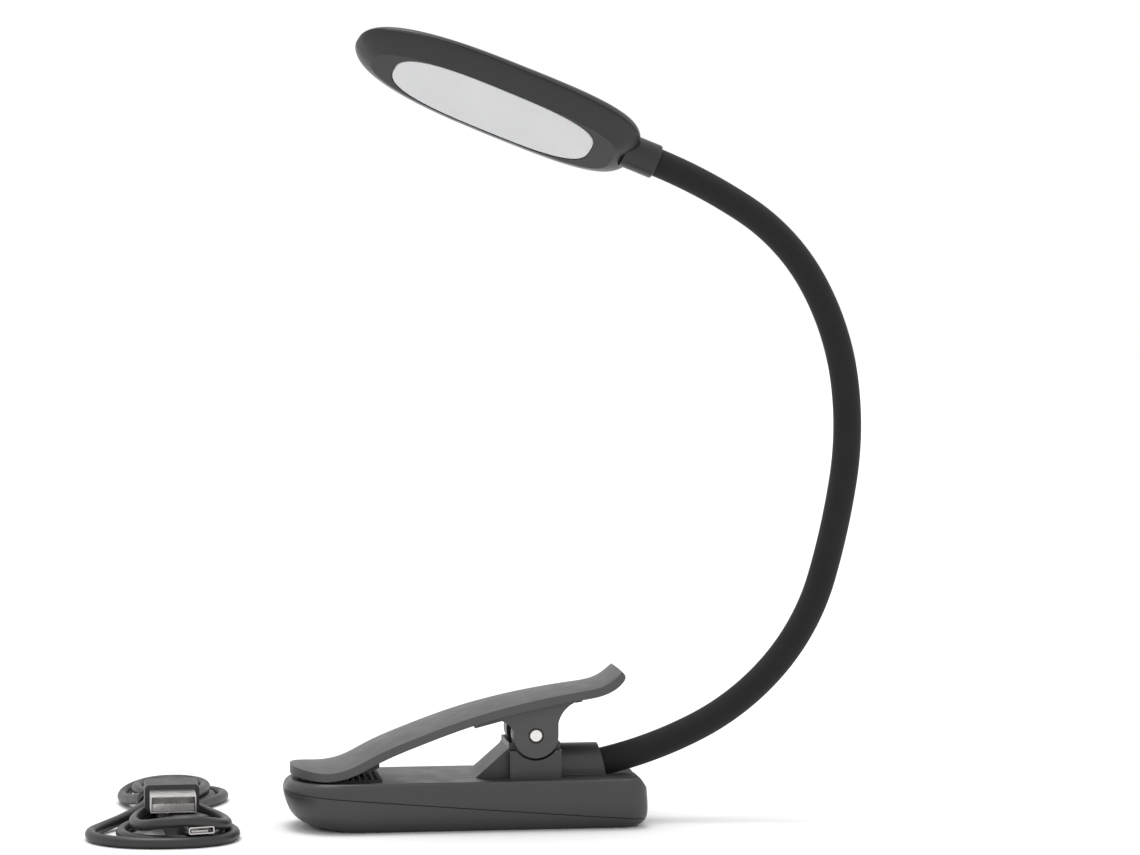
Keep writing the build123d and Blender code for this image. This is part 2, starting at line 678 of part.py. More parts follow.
def micro_usb_plug():
    grip = Pos(0, 7.4, 0) * Box(9.6, 13.0, 6.4)
    return lead_end() * fillet(grip.edges().filter_by(Axis.Y), 1.4)


def micro_usb_shell():
    start = Plane(origin=(0, 0.9, 0), x_dir=(1, 0, 0), z_dir=(0, -1, 0))
    shell = extrude(start * RectangleRounded(6.9, 1.9, 0.5), amount=6.2)
    shell -= extrude(start.offset(1.0) * RectangleRounded(6.3, 1.3, 0.3), amount=6.0)
    return lead_end() * (shell + Pos(0, -1.6, -0.35) * Box(4.6, 3.6, 0.5))


def lead_end():
    """Place of the small plug, a little askew at the hank's near end."""
    return Pos(6.2, -46.5, 4.14) * Rot(0, 0, 14) * Rot(-3.5, 0, 0)


def lead_hank():
    """Outer shape of the tied lead: an upper loop, a tied waist and wider lower loops."""
    upper = Pos(2.4, 25.5) * Ellipse(15.8, 19.3)
    lower = Pos(-2.9, -28.9) * Ellipse(19.8, 25.4)
    waist = Rectangle(2 * (TIE_HALF_WIDTH - TIE_BAND), 26.0)
    hank = extrude(upper + lower + waist, amount=HANK_HEIGHT)
    for piece in (lead_tie(), usb_a_plug(), usb_a_shell(), micro_usb_plug(), micro_usb_shell()):
        hank -= piece
    plug_room = slab((-7, 8), (-39.6, -8.6), (PLUG_FLOOR, 20))
    mouth_room = lead_end() * Pos(0, -2.4, 0) * Box(7.4, 6.8, 12)
    return hank - plug_room - mouth_room


def place_lead(shape):
    return Pos(*LEAD_SPOT, 0) * shape


def place_head(shape):
    return HEAD_PLANE.location * shape


def build_parts():
    PARTS["base_upper_shell"] = base_upper_shell()
    PARTS["base_lower_shell"] = base_lower_shell()
    PARTS["base_screws"] = base_screws()
    PARTS["lower_grip_pad"] = lower_grip_pad()
    PARTS["battery_cell"] = battery_cell()
    PARTS["battery_leads"] = battery_leads()
    PARTS["charging_board"] = charging_board()
    PARTS["micro_usb_socket"] = micro_usb_socket()
    PARTS["charge_light_pipe"] = charge_light_pipe()
    PARTS["pivot_pin"] = pivot_pin()
    PARTS["torsion_spring"] = torsion_spring()
    PARTS["clip_lever"] = clip_lever()
    PARTS["upper_grip_pad"] = upper_grip_pad()
    PARTS["neck_anchor"] = neck_anchor()
    for number in range(1, len(SPAN_TURNS) + 1):
        PARTS[f"neck_core_{number}"] = neck_core(number)
        PARTS[f"neck_sleeve_{number}"] = neck_sleeve(number)
        PARTS[f"neck_wires_{number}"] = neck_wires(number)
    PARTS["head_collar"] = head_collar()
    PARTS["head_back_shell"] = place_head(head_back_shell())
    PARTS["head_bezel"] = place_head(head_bezel())
    PARTS["diffuser"] = place_head(diffuser())
    PARTS["reflector_frame"] = place_head(reflector_frame())
    PARTS["led_board"] = place_head(led_board())
    PARTS["led_chips"] = [place_head(chip) for chip in led_chips()]
    PARTS["head_screws"] = [place_head(screw) for screw in head_screws()]
    PARTS["touch_spring"] = place_head(touch_spring())
    PARTS["lead_hank"] = place_lead(lead_hank())
    PARTS["lead_tie"] = place_lead(lead_tie())
    PARTS["usb_a_plug"] = place_lead(usb_a_plug())
    PARTS["usb_a_shell"] = place_lead(usb_a_shell())
    PARTS["micro_usb_plug"] = place_lead(micro_usb_plug())
    PARTS["micro_usb_shell"] = place_lead(micro_usb_shell())


build_parts()
os.makedirs("parts", exist_ok=True)
for node, shape in PARTS.items():
    solids = Compound(children=shape) if isinstance(shape, list) else shape
    export_step(solids, f"parts/{node}.step")
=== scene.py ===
"""Looks of the clip-on reading lamp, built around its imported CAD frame. Metres, +Z up."""

import json
import math

import bmesh
import bpy
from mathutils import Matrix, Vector


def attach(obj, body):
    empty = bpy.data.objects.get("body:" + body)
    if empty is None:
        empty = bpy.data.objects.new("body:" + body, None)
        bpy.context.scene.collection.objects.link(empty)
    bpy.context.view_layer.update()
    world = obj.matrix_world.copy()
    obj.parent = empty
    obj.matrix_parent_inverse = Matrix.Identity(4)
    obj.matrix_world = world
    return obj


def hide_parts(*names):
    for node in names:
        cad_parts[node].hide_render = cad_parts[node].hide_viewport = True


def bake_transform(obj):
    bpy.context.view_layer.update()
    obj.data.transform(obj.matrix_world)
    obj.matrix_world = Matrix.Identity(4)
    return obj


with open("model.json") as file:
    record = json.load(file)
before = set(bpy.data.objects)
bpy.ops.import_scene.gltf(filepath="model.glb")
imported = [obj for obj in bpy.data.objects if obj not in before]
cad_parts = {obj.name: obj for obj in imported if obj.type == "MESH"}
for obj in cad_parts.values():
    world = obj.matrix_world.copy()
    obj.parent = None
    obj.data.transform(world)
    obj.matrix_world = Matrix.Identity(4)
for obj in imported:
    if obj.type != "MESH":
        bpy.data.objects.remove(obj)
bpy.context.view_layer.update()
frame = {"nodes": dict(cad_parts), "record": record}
NODES = frame["nodes"]
MM = 0.001

# ---------------------------------------------------------------- the neck, in millimetres as in the CAD
NECK_START = (37.2, 16.11)
NECK_HEADING = 12.0
SPAN = 27.74
SPAN_TURNS = (14.0, 22.7, 25.0, 7.6, 16.7, 21.3, 27.8, 11.0)
SLEEVE_RADIUS = 3.85
SLEEVE_BORE = 3.05
SLEEVE_TUCK = 3.9           # hidden in the socket and the collar; 0.1 less than in the CAD
WIRE_RADIUS = 0.45
WIRE_OFFSET = 0.5
PIVOT = (18.0, 0.0, 25.0)   # of the clip's lever


def neck_station(distance):
    """Centre and heading, in millimetres and radians, at a distance along the neck."""
    x, z = NECK_START
    heading = math.radians(NECK_HEADING)
    for turn in SPAN_TURNS:
        step = min(max(distance, 0.0), SPAN)
        angle = math.radians(turn) * step / SPAN
        chord = 2 * SPAN / math.radians(turn) * math.sin(angle / 2)
        x += chord * math.cos(heading + angle / 2)
        z += chord * math.sin(heading + angle / 2)
        heading += angle
        distance -= step
        if distance <= 0:
            break
    x += distance * math.cos(heading)
    z += distance * math.sin(heading)
    return Vector((x, 0.0, z)), heading


# ---------------------------------------------------------------- node helpers
MIX_COLOUR_SOCKETS = (0, 6, 7)      # a Mix node's factor and its two colours
MIX_COLOUR_RESULT = 2


class Look:
    """A material's node tree, built a step at a time."""

    def __init__(self, name, **sockets):
        self.material = bpy.data.materials.new(name)
        self.material.use_nodes = True
        self.nodes = self.material.node_tree.nodes
        self.links = self.material.node_tree.links
        self.shader = self.nodes["Principled BSDF"]
        for socket, value in sockets.items():
            self.shader.inputs[socket.replace("_", " ")].default_value = value
        self.place = self.node("ShaderNodeTexCoord").outputs["Object"]

    def node(self, kind, inputs=None, **settings):
        """A new node, with its settings made and its inputs fed."""
        made = self.nodes.new(kind)
        for setting, value in settings.items():
            setattr(made, setting, value)
        for socket, value in (inputs or {}).items():
            self.feed(made.inputs[socket], value)
        return made

    def feed(self, socket, value):
        """Link another node's output to a socket, or set the socket's own value."""
        if isinstance(value, bpy.types.NodeSocket):
            self.links.new(value, socket)
        else:
            socket.default_value = value

    def noise(self, size, detail=2.0, roughness=0.5, place=None):
        """Noise whose features are about this many millimetres across."""
        inputs = {"Vector": place or self.place, "Scale": 1 / (size * MM), "Detail": detail,
                  "Roughness": roughness}
        return self.node("ShaderNodeTexNoise", inputs).outputs["Fac"]

    def remap(self, value, low, high, to_low, to_high):
        """A value stretched from one range to another, and held to it."""
        inputs = {"Value": value, "From Min": low, "From Max": high}
        inputs |= {"To Min": to_low, "To Max": to_high}
        return self.node("ShaderNodeMapRange", inputs).outputs["Result"]

    def math(self, operation, first, second=0.0):
        return self.node("ShaderNodeMath", {0: first, 1: second}, operation=operation).outputs[0]

    def mix(self, factor, first, second):
        """The first colour where the factor is 0, the second where it is 1."""
        made = self.node("ShaderNodeMix", data_type="RGBA")
        for socket, value in zip(MIX_COLOUR_SOCKETS, (factor, first, second)):
            self.feed(made.inputs[socket], value)
        return made.outputs[MIX_COLOUR_RESULT]

    def edge(self, radius):
        """How sharply the surface turns, from 0 when flat to 1 at an edge, and its rounded normal."""
        rounded = self.node("ShaderNodeBevel", {"Radius": radius * MM}, samples=4).outputs["Normal"]
        flat = self.node("ShaderNodeNewGeometry").outputs["Normal"]
        inputs = {0: rounded, 1: flat}
        facing = self.node("ShaderNodeVectorMath", inputs, operation="DOT_PRODUCT").outputs["Value"]
        return self.remap(facing, 0.98, 0.75, 0.0, 1.0), rounded

    def bump(self, height, depth, strength=1.0, normal=None):
        """The normal of a surface raised by up to this many millimetres."""
        inputs = {"Height": height, "Distance": depth * MM, "Strength": strength}
        if normal is not None:
            inputs["Normal"] = normal
        return self.node("ShaderNodeBump", inputs).outputs["Normal"]

    def set(self, socket, value):
        self.links.new(value, self.shader.inputs[socket])


def grey(value, tint=(1.0, 1.0, 1.0)):
    """An opaque grey, in linear light."""
    return (value * tint[0], value * tint[1], value * tint[2], 1.0)


def moulded_plastic(name, tone, roughness, grain=0.22, depth=0.012, edge=0.3, specular=0.5):
    """Satin moulded plastic: spark-eroded grain, faint flow clouds, edges rubbed a little paler."""
    look = Look(name, Specular_IOR_Level=specular)
    cloud = look.noise(14.0, 3.0)
    speck = look.noise(grain, 2.0, 0.6)
    worn, rounded = look.edge(edge)
    rub = look.math("MULTIPLY", worn, look.remap(look.noise(3.0, 3.0), 0.35, 0.7, 0.15, 0.8))
    shade = look.mix(cloud, grey(tone * 0.9), grey(tone * 1.1, (1.0, 1.0, 1.02)))
    shade = look.mix(look.remap(speck, 0.3, 0.75, 0.0, 0.5), shade, grey(tone * 1.45))
    look.set("Base Color", look.mix(rub, shade, grey(tone * 1.9)))
    patch = look.remap(look.noise(6.0, 4.0), 0.3, 0.7, roughness - 0.05, roughness + 0.05)
    look.set("Roughness", look.math("SUBTRACT", patch, look.math("MULTIPLY", rub, 0.08)))
    look.set("Normal", look.bump(speck, depth, 1.0, rounded))
    return look.material


def soft_rubber(name, tone, roughness=0.82, grain=0.12, depth=0.008):
    """Matt silicone or rubber: very fine skin, dusty clouding."""
    look = Look(name, Specular_IOR_Level=0.28, Sheen_Weight=0.05, Sheen_Roughness=0.5)
    skin = look.noise(grain, 3.0, 0.6)
    dust = look.remap(look.noise(9.0, 5.0, 0.6), 0.35, 0.7, 0.0, 1.0)
    shade = look.mix(dust, grey(tone * 0.88), grey(tone * 1.16))
    look.set("Base Color", look.mix(look.remap(skin, 0.4, 0.8, 0.0, 0.4), shade, grey(tone * 1.4)))
    look.set("Roughness", look.remap(dust, 0.0, 1.0, roughness - 0.05, roughness + 0.05))
    rounded = look.node("ShaderNodeBevel", {"Radius": 0.15 * MM}, samples=4).outputs["Normal"]
    look.set("Normal", look.bump(skin, depth, 1.0, rounded))
    return look.material


def bright_metal(name, tone, roughness, tint=(1.0, 0.98, 0.95), line=(60.0, 60.0, 1.2), depth=0.003):
    """Plated or drawn steel: fine lines drawn out along one axis, slight tarnish in patches."""
    look = Look(name, Metallic=1.0)
    stretch = look.node("ShaderNodeMapping", {"Vector": look.place, "Scale": line}).outputs["Vector"]
    lines = look.noise(8.0, 2.0, 0.5, stretch)
    tarnish = look.noise(2.5, 4.0, 0.6)
    shade = look.mix(tarnish, grey(tone * 0.88, tint), grey(tone * 1.05, tint))
    streak = look.remap(lines, 0.35, 0.65, 0.0, 0.35)
    look.set("Base Color", look.mix(streak, shade, grey(tone * 0.7, tint)))
    look.set("Roughness", look.remap(lines, 0.3, 0.7, roughness - 0.08, roughness + 0.08))
    rounded = look.node("ShaderNodeBevel", {"Radius": 0.12 * MM}, samples=4).outputs["Normal"]
    look.set("Normal", look.bump(lines, depth, 1.0, rounded))
    return look.material


def turned_pin():
    """The pin's end face: concentric turning marks about its axis."""
    look = Look("pin_steel_turned", Metallic=1.0)
    kind = "ShaderNodeVectorMath"
    offset = look.node(kind, {0: look.place, 1: Vector(PIVOT) * MM}, operation="SUBTRACT")
    flat = look.node(kind, {0: offset.outputs[0], 1: (1.0, 0.0, 1.0)}, operation="MULTIPLY")
    radius = look.node(kind, {0: flat.outputs[0]}, operation="LENGTH").outputs["Value"]
    rings = look.math("SINE", look.math("MULTIPLY", radius, 2 * math.pi / (0.16 * MM)))
    blotch = look.noise(0.8, 3.0)
    shade = look.mix(blotch, grey(0.62, (1.0, 0.96, 0.93)), grey(0.85, (1.0, 0.97, 0.95)))
    look.set("Base Color", shade)
    look.set("Roughness", look.remap(blotch, 0.3, 0.7, 0.22, 0.42))
    rounded = look.node("ShaderNodeBevel", {"Radius": 0.25 * MM}, samples=4).outputs["Normal"]
    look.set("Normal", look.bump(rings, 0.004, 1.0, rounded))
    return look.material


def milky_window():
    """Satin light-scattering plastic with faint clouds."""
    look = Look("milky_diffuser", Specular_IOR_Level=0.45, Subsurface_Weight=0.25,
                Subsurface_Scale=0.0015)
    fine = look.noise(0.35, 2.0)
    cloud = look.noise(16.0, 2.0)
    look.set("Base Color", look.mix(cloud, grey(0.54, (0.99, 1.0, 1.01)), grey(0.6, (1.0, 1.0, 1.0))))
    look.set("Roughness", look.remap(fine, 0.3, 0.7, 0.36, 0.46))
    rounded = look.node("ShaderNodeBevel", {"Radius": 0.3 * MM}, samples=4).outputs["Normal"]
    look.set("Normal", look.bump(fine, 0.006, 1.0, rounded))
    return look.material


def cable_jacket():
    """Soft vinyl jacket: smooth, with faint extrusion streaks and scuffs."""
    look = Look("lead_jacket", Specular_IOR_Level=0.5)
    skin = look.noise(0.5, 3.0, 0.6)
    scuff = look.noise(5.0, 5.0, 0.65)
    look.set("Base Color", look.mix(scuff, grey(0.012), grey(0.022)))
    look.set("Roughness", look.remap(scuff, 0.3, 0.7, 0.36, 0.52))
    look.set("Normal", look.bump(skin, 0.01, 1.0))
    return look.material


def solder_mask():
    """Green board: mask over tracks, with a faint weave of the glass underneath."""
    look = Look("circuit_board", Roughness=0.35)
    cells = look.node("ShaderNodeTexBrick", {
        "Vector": look.place, "Color1": (0.012, 0.11, 0.05, 1), "Color2": (0.016, 0.14, 0.06, 1),
        "Mortar": (0.03, 0.22, 0.1, 1), "Scale": 160.0, "Mortar Size": 0.03})
    weave = look.noise(0.5, 2.0)
    look.set("Base Color", cells.outputs["Color"])
    look.set("Normal", look.bump(weave, 0.01, 1.0))
    return look.material


def phosphor():
    """The yellow faces of the LED chips."""
    look = Look("led_phosphor", Roughness=0.4)
    spot = look.noise(1.2, 2.0)
    look.set("Base Color", look.mix(spot, (0.8, 0.62, 0.12, 1), (0.86, 0.78, 0.3, 1)))
    look.set("Normal", look.bump(look.noise(0.3), 0.01, 1.0))
    return look.material


def foil_wrap():
    """The battery cell's creased laminated foil."""
    look = Look("battery_foil", Metallic=0.6)
    crease = look.noise(3.0, 5.0, 0.6)
    look.set("Base Color", look.mix(crease, grey(0.5), grey(0.7)))
    look.set("Roughness", look.remap(crease, 0.3, 0.7, 0.25, 0.5))
    look.set("Normal", look.bump(crease, 0.05, 1.0))
    return look.material


def coated_wire():
    """Two supply wires: one red, one black, told apart by the side they run on."""
    look = Look("wire_insulation", Roughness=0.4)
    side = look.node("ShaderNodeSeparateXYZ", {"Vector": look.place}).outputs["Y"]
    red = look.math("GREATER_THAN", side, 0.0)
    look.set("Base Color", look.mix(red, (0.015, 0.015, 0.016, 1), (0.42, 0.02, 0.015, 1)))
    look.set("Normal", look.bump(look.noise(0.6, 3.0), 0.01, 1.0))
    return look.material


def clear_plastic():
    """The indicator's light pipe, slightly hazy."""
    look = Look("clear_plastic", Transmission_Weight=0.85, IOR=1.49)
    haze = look.noise(1.5, 3.0)
    look.set("Base Color", look.mix(haze, grey(0.8), grey(0.92)))
    look.set("Roughness", look.remap(haze, 0.3, 0.7, 0.12, 0.3))
    return look.material


LOOKS = {
    "jaw_plastic": moulded_plastic("jaw_plastic", 0.03, 0.4),
    "lever_plastic": moulded_plastic("lever_plastic", 0.05, 0.48),
    "head_plastic": moulded_plastic("head_plastic", 0.012, 0.38, specular=0.42),
    "neck_silicone": soft_rubber("neck_silicone", 0.009),
    "grip_rubber": soft_rubber("grip_rubber", 0.03, 0.7, 0.2, 0.015),
    "pin_steel": turned_pin(),
    "steel": bright_metal("steel", 0.55, 0.3),
    "plated_steel": bright_metal("plated_steel", 0.6, 0.3, (1.0, 0.96, 0.95)),
    "battery_foil": foil_wrap(),
    "wire": coated_wire(),
    "circuit_board": solder_mask(),
    "clear_plastic": clear_plastic(),
    "milky_diffuser": milky_window(),
    "white_plastic": moulded_plastic("white_plastic", 0.72, 0.5, edge=0.2),
    "led_phosphor": phosphor(),
    "lead_jacket": cable_jacket(),
    "tie_wire": moulded_plastic("tie_wire", 0.014, 0.3, 0.4, 0.006, 0.1),
    "plug_plastic": moulded_plastic("plug_plastic", 0.022, 0.5, 0.25, 0.016, 0.25),
}
SLOTS = {part["node"]: part["material_slot"] for part in frame["record"]["subparts"]}
for node, piece in NODES.items():
    piece.data.materials.clear()
    piece.data.materials.append(LOOKS[SLOTS[node]])


# ---------------------------------------------------------------- mesh helpers
def new_piece(name, vertices, faces, slot):
    """A smooth-shaded object from a mesh in millimetres, in one material slot."""
    mesh = bpy.data.meshes.new(name)
    mesh.from_pydata([Vector(v) * MM for v in vertices], [], faces)
    mesh.validate()
    mesh.update()
    for face in mesh.polygons:
        face.use_smooth = True
    mesh.materials.append(LOOKS[slot])
    piece = bpy.data.objects.new(name, mesh)
    bpy.context.scene.collection.objects.link(piece)
    return piece


def ring(centre, across, up, radius, sides):
    """Points on a circle, from two directions that span its plane."""
    points = []
    for n in range(sides):
        angle = 2 * math.pi * n / sides
        points.append(centre + across * (radius * math.cos(angle)) + up * (radius * math.sin(angle)))
    return points


def bridge(count, sides, closed=False):
    """Faces joining a run of rings, in order."""
    faces = []
    for n in range(count if closed else count - 1):
        low, high = n * sides, (n + 1) % count * sides
        for m in range(sides):
            k = (m + 1) % sides
            faces.append((low + m, low + k, high + k, high + m))
    return faces


def capped(count, sides):
    """Faces joining a run of rings, with both ends closed."""
    faces = bridge(count, sides)
    faces.append(tuple(reversed(range(sides))))
    faces.append(tuple(range((count - 1) * sides, count * sides)))
    return faces


def path_frames(points):
    """A frame that doesn't twist, carried along a run of points."""
    frames = []
    up = None
    for n, point in enumerate(points):
        ahead = points[min(n + 1, len(points) - 1)] - points[max(n - 1, 0)]
        ahead.normalize()
        if up is None:
            up = ahead.orthogonal().normalized()
        up = (up - ahead * up.dot(ahead)).normalized()
        frames.append((point, ahead.cross(up), up))
    return frames


CAP_ANGLES = (15, 40, 65)   # of the rings that round a rod's ends, in degrees off its axis


def rod_along(name, points, radius, slot, sides):
    """A round-ended rod along a run of points, in millimetres."""
    frames = path_frames([Vector(p) for p in points])
    start, start_across, start_up = frames[0]
    end, end_across, end_up = frames[-1]
    start_way = (start - frames[1][0]).normalized()
    end_way = (end - frames[-2][0]).normalized()
    cap = [(math.sin(angle), math.cos(angle)) for angle in map(math.radians, CAP_ANGLES)]
    rings = []
    for out, along in cap:
        centre = start + start_way * radius * along
        rings.append(ring(centre, start_across, start_up, radius * out, sides))
    for point, across, up in frames:
        rings.append(ring(point, across, up, radius, sides))
    for out, along in reversed(cap):
        centre = end + end_way * radius * along
        rings.append(ring(centre, end_across, end_up, radius * out, sides))
    vertices = [vertex for points_round in rings for vertex in points_round]
    return new_piece(name, vertices, capped(len(rings), sides), slot)


# ---------------------------------------------------------------- neck
def neck_frame(distance):
    """Centre of the neck and two directions across it, at a distance along it."""
    centre, heading = neck_station(distance)
    return centre, Vector((0, 1, 0)), Vector((-math.sin(heading), 0, math.cos(heading)))


def neck_tube(name, start, end, outer, inner, slot, offset=0.0, steps=32, sides=48):
    """A tube along the neck with a real wall, or a solid rod where inner is 0."""
    stops = [start + (end - start) * n / steps for n in range(steps + 1)]
    vertices = []
    for stop in stops:
        centre, across, up = neck_frame(stop)
        vertices += ring(centre + across * offset, across, up, outer, sides)
    rings = len(stops)
    if inner > 0:
        for stop in reversed(stops):
            centre, across, up = neck_frame(stop)
            vertices += ring(centre + across * offset, across, up, inner, sides)
        faces = bridge(2 * rings, sides, closed=True)
    else:
        faces = capped(rings, sides)
    piece = new_piece(name, vertices, faces, slot)
    rims = {0, rings - 1, rings, 2 * rings - 1} if inner > 0 else {0, rings - 1}
    for edge in piece.data.edges:
        low, high = (index // sides for index in edge.vertices)
        if low == high and low in rims:
            edge.use_edge_sharp = True
    return piece


def join(pieces, name):
    """One object from several, keeping the first one's slot."""
    with bpy.context.temp_override(active_object=pieces[0], selected_editable_objects=pieces):
        bpy.ops.object.join()
    pieces[0].name = name
    return pieces[0]


BLEND_MARGIN = 1.6          # in from each end of a span, in millimetres, where turn_start and turn_end are taken
for number in range(1, len(SPAN_TURNS) + 1):
    low, high = (number - 1) * SPAN, number * SPAN
    start = -SLEEVE_TUCK if number == 1 else low
    end = high + SLEEVE_TUCK if number == len(SPAN_TURNS) else high
    turn_start = neck_station(low + BLEND_MARGIN)[0] * MM
    turn_end = neck_station(high - BLEND_MARGIN)[0] * MM
    sleeve = neck_tube(f"sleeve_{number}", start, end, SLEEVE_RADIUS, SLEEVE_BORE, "neck_silicone")
    pair = [
        neck_tube(f"wire_{number}_{side}", low, high, WIRE_RADIUS, 0, "wire", offset, 24, 12)
        for side, offset in enumerate((-WIRE_OFFSET, WIRE_OFFSET))
    ]
    wires = join(pair, f"supply_wires_{number}")
    for piece, node in ((sleeve, f"neck_sleeve_{number}"), (wires, f"neck_wires_{number}")):
        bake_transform(piece)
        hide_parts(node)


# ---------------------------------------------------------------- torsion spring, in millimetres
COIL_RADIUS = 3.8           # to the middle of the wire
COIL_HALF = 3.0             # half the coil's length along the pin
COIL_TURNS = 5.25
COIL_STEPS = 24             # points to a turn
SPRING_WIRE_RADIUS = 0.5
LEG_STEP = 1.6              # between a leg's points
POST_LEG_DROP = 8.3         # from the pin's height to the post leg's foot
LEVER_LEG_RISE = 0.19       # over one step


def spring_points():
    """Post leg up, the coil round the pin, then the lever leg."""
    x, z = PIVOT[0], PIVOT[2]
    points = [(x - COIL_RADIUS, COIL_HALF, z - POST_LEG_DROP + n * LEG_STEP) for n in range(5)]
    count = int(COIL_TURNS * COIL_STEPS)
    for n in range(count + 1):
        angle = math.pi + 2 * math.pi * n / COIL_STEPS
        along = COIL_HALF - (2 * COIL_HALF) * n / count
        points.append((x + COIL_RADIUS * math.cos(angle), along, z - COIL_RADIUS * math.sin(angle)))
    last = points[-1]
    points += [(last[0] - LEG_STEP * n, last[1], last[2] + LEVER_LEG_RISE * n) for n in range(1, 5)]
    return points


spring = rod_along("spring_wire", spring_points(), SPRING_WIRE_RADIUS, "steel", 12)
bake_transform(spring)
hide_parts("torsion_spring")


# ---------------------------------------------------------------- charging lead
LEAD_SPOT = Vector((-80.0, 20.0, 0.0))      # the tie's place on the floor, in millimetres
LEAD_RADIUS = 1.5
LEAD_ROUTE = [              # from the tie's middle, in millimetres
    # out of the large plug and up under the tie
    (0.5, -12.0, 9.6), (0.5, -8.0, 9.5), (1.0, -3.0, 7.0), (1.5, 2.0, 5.3), (2.6, 9.0, 4.6),
    # first upper loop
    (5.4, 17.0, 4.5), (7.7, 25.0, 4.5), (8.0, 32.0, 4.5), (6.0, 37.6, 4.5), (1.8, 39.8, 4.5),
    (-3.0, 39.5, 4.4), (-6.8, 36.0, 4.2), (-8.0, 30.0, 4.2), (-7.4, 22.5, 4.3), (-5.0, 15.5, 4.5),
    (-2.6, 8.0, 4.7), (-1.6, 1.0, 5.2),
    # first lower loop, over the small plug's mouth
    (-2.2, -6.0, 4.7), (-5.2, -14.0, 4.5), (-8.4, -24.0, 4.5), (-10.0, -34.0, 4.5),
    (-8.6, -43.5, 4.6), (-2.8, -49.6, 6.2), (4.6, -51.4, 7.2), (11.6, -48.6, 5.6),
    (14.8, -41.0, 4.4), (13.8, -31.5, 4.4), (10.4, -21.0, 4.5), (7.0, -11.0, 4.6), (5.0, -3.0, 5.1),
    # second upper loop, resting on the floor at its left
    (4.8, 3.0, 5.2), (7.0, 11.0, 4.7), (10.2, 20.0, 4.5), (11.7, 29.0, 4.5), (9.6, 38.0, 4.5),
    (3.6, 43.6, 4.4), (-4.6, 43.0, 4.0), (-10.6, 37.4, 2.6), (-12.2, 29.0, 1.7),
    (-10.4, 19.5, 2.4), (-7.2, 9.5, 4.2), (-4.8, 1.5, 5.2),
    # wide lower loop on the floor
    (-6.0, -6.0, 4.4), (-11.0, -14.5, 2.8), (-17.6, -23.5, 1.6), (-21.8, -33.0, 1.5),
    (-20.2, -43.0, 1.5), (-12.8, -50.6, 1.5), (-3.0, -53.0, 1.5), (7.2, -52.4, 1.5),
    (14.6, -47.2, 1.5), (17.2, -38.0, 1.5), (15.2, -27.0, 1.5), (10.6, -15.5, 1.6), (6.2, -6.0, 1.9),
    # third upper loop
    (4.7, 0.5, 2.2), (6.6, 8.0, 1.8), (11.4, 16.5, 1.5), (15.8, 25.0, 1.5), (16.9, 33.0, 1.5),
    (13.2, 39.8, 1.5), (6.0, 41.6, 1.5), (-1.0, 38.4, 1.5), (-5.4, 31.5, 1.5), (-6.6, 22.5, 1.5),
    (-6.0, 12.0, 1.6), (-4.8, 2.5, 2.1),
    # third lower loop
    (-4.9, -5.0, 1.9), (-7.4, -14.0, 1.5), (-11.6, -24.0, 1.5), (-13.6, -34.0, 1.5),
    (-11.6, -43.2, 1.5), (-5.0, -48.8, 1.5), (4.0, -49.4, 1.5), (11.4, -45.2, 1.5),
    (13.3, -36.5, 1.5), (10.8, -25.5, 1.5), (6.4, -14.0, 1.5), (2.6, -4.5, 2.0),
    # last upper loop
    (1.6, 2.0, 2.2), (3.6, 9.0, 1.8), (8.2, 17.0, 1.5), (12.3, 24.0, 1.5), (13.3, 30.4, 1.5),
    (10.8, 35.4, 1.5), (5.9, 37.3, 1.5), (1.2, 35.3, 1.5), (-1.7, 29.6, 1.5), (-2.9, 21.5, 1.5),
    (-2.7, 12.0, 1.5), (-1.7, 3.0, 2.1),
    # down under the large plug and into the small one
    (-1.6, -5.0, 2.0), (-2.8, -14.0, 1.6), (-2.4, -22.0, 1.9), (0.6, -28.5, 2.9),
    (2.6, -33.0, 3.4), (3.1, -35.2, 3.4),
]


def nurbs_line(name, route, cuts):
    """A curve that follows a route from its first point to its last."""
    line = bpy.data.curves.new(name, "CURVE")
    line.dimensions = "3D"
    run = line.splines.new("NURBS")
    run.points.add(len(route) - 1)
    for point, place in zip(run.points, route):
        point.co = (*place, 1.0)
    run.order_u = 3
    run.use_endpoint_u = True
    run.use_smooth = True
    run.resolution_u = cuts
    return line


curve = nurbs_line("charging_lead", [(LEAD_SPOT + Vector(place)) * MM for place in LEAD_ROUTE], 10)
curve.bevel_depth = LEAD_RADIUS * MM
curve.bevel_resolution = 8
curve.use_fill_caps = True
curve.materials.append(LOOKS["lead_jacket"])
lead = bpy.data.objects.new("charging_lead", curve)
bpy.context.scene.collection.objects.link(lead)
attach(lead, "base")
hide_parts("lead_hank")


TIE_ROUTE = [               # twice round the bundle, with its ends hooked over, in millimetres
    (3.6, 1.6, 8.6), (0.4, 1.9, 8.3), (-3.6, 2.6, 8.0), (-6.6, 2.4, 7.2), (-8.0, 1.4, 5.2),
    (-7.6, 0.2, 2.6), (-5.6, -0.6, 0.7), (0.0, -0.4, 0.55), (5.6, 0.0, 0.7), (7.4, 0.3, 2.6),
    (7.3, 0.4, 5.0), (5.4, 0.2, 7.4), (1.2, 0.0, 8.1), (-3.2, -0.4, 7.6), (-6.6, -0.8, 6.6),
    (-8.0, -1.2, 4.6), (-7.6, -1.4, 2.4), (-5.4, -1.5, 0.7), (0.0, -1.5, 0.55), (5.6, -1.4, 0.7),
    (7.6, -1.3, 2.8), (7.6, -1.2, 5.2), (5.2, -1.1, 7.5), (1.0, -1.2, 8.4), (-2.6, -1.5, 8.3),
    (-5.2, -1.9, 7.9),
]


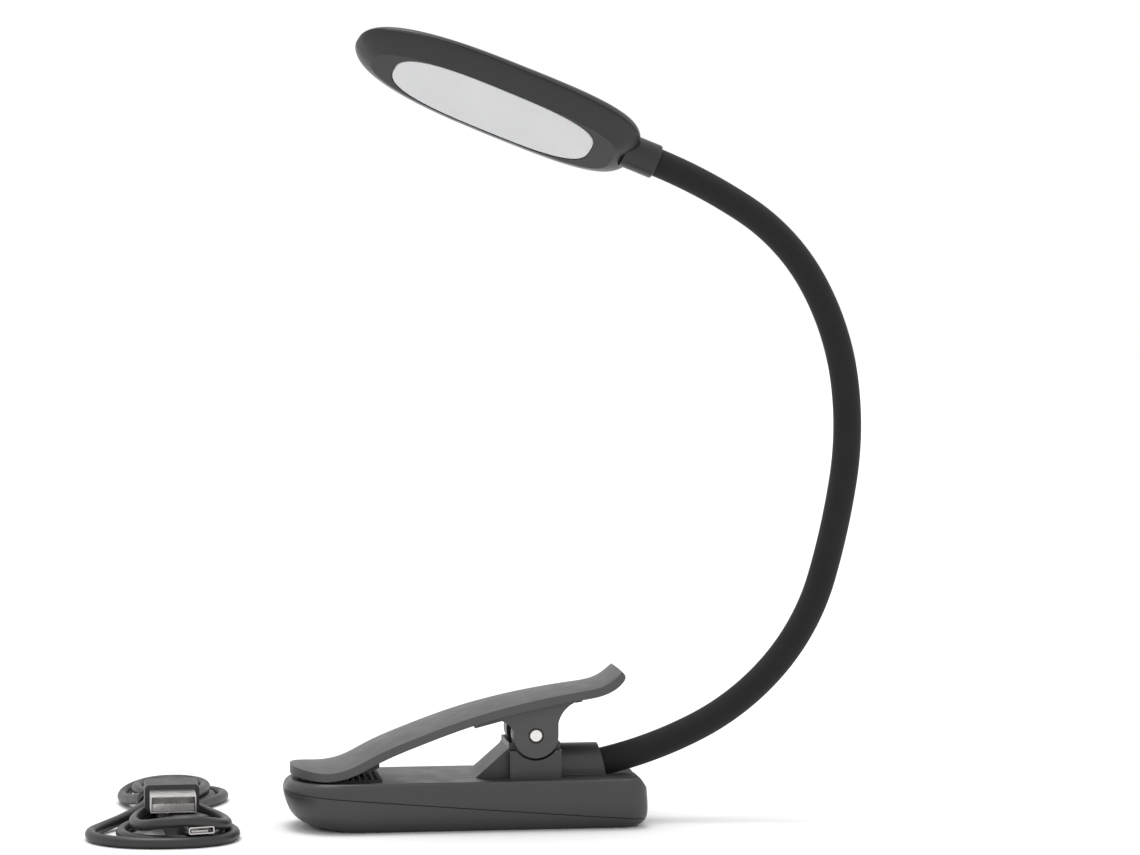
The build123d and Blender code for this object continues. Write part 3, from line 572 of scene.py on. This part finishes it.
def smooth_run(route):
    """Points along the NURBS line of a route."""
    line = nurbs_line("line", route, 8)
    holder = bpy.data.objects.new("line", line)
    mesh = bpy.data.meshes.new_from_object(holder)
    points = [v.co.copy() for v in mesh.vertices]
    bpy.data.meshes.remove(mesh)
    bpy.data.curves.remove(line)
    return points


TIE_RADIUS = 0.62
tie = rod_along("twist_tie", [LEAD_SPOT + p for p in smooth_run(TIE_ROUTE)], TIE_RADIUS, "tie_wire", 14)
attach(tie, "base")
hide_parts("lead_tie")


# ---------------------------------------------------------------- floor, light and camera
FLOOR_HALF = 4.0
WORLD_STRENGTH = 1.0
SUN_STRENGTH = 1.6
SUN_SPREAD = 30             # degrees; wide, for soft shadows
SUN_WAY = Vector((0.1, -0.1, -1.0))
CAMERA_PLACE = Vector((-0.10676, -0.9898, 0.15526))
AIM = Vector((0.02889, 0.00083, 0.10753))
LENS = 116.2


def studio():
    """A pale floor under a white sky, with one broad light from above."""
    mesh = bpy.data.meshes.new("floor")
    work = bmesh.new()
    bmesh.ops.create_grid(work, x_segments=2, y_segments=2, size=FLOOR_HALF)
    work.to_mesh(mesh)
    work.free()
    floor = bpy.data.objects.new("floor", mesh)
    bpy.context.scene.collection.objects.link(floor)
    paint = Look("floor_paint", Roughness=0.75, Specular_IOR_Level=0.2)
    cloud = paint.noise(300.0, 2.0)
    paint.set("Base Color", paint.mix(cloud, grey(0.82), grey(0.86)))
    mesh.materials.append(paint.material)

    world = bpy.data.worlds.new("studio")
    world.use_nodes = True
    world.node_tree.nodes["Background"].inputs["Color"].default_value = (1.0, 1.0, 1.0, 1.0)
    world.node_tree.nodes["Background"].inputs["Strength"].default_value = WORLD_STRENGTH
    bpy.context.scene.world = world

    data = bpy.data.lights.new("overhead", "SUN")
    data.energy = SUN_STRENGTH
    data.angle = math.radians(SUN_SPREAD)
    lamp = bpy.data.objects.new("overhead", data)
    lamp.rotation_euler = SUN_WAY.to_track_quat("-Z", "Y").to_euler()
    bpy.context.scene.collection.objects.link(lamp)


studio()
camera_data = bpy.data.cameras.new("camera")
camera_data.lens = LENS
camera_data.clip_start = 0.05
camera_data.clip_end = 20.0
camera = bpy.data.objects.new("camera", camera_data)
camera.location = CAMERA_PLACE
camera.rotation_euler = (AIM - camera.location).to_track_quat("-Z", "Y").to_euler()
bpy.context.scene.collection.objects.link(camera)
bpy.context.scene.camera = camera
bpy.context.scene.view_settings.view_transform = "Standard"
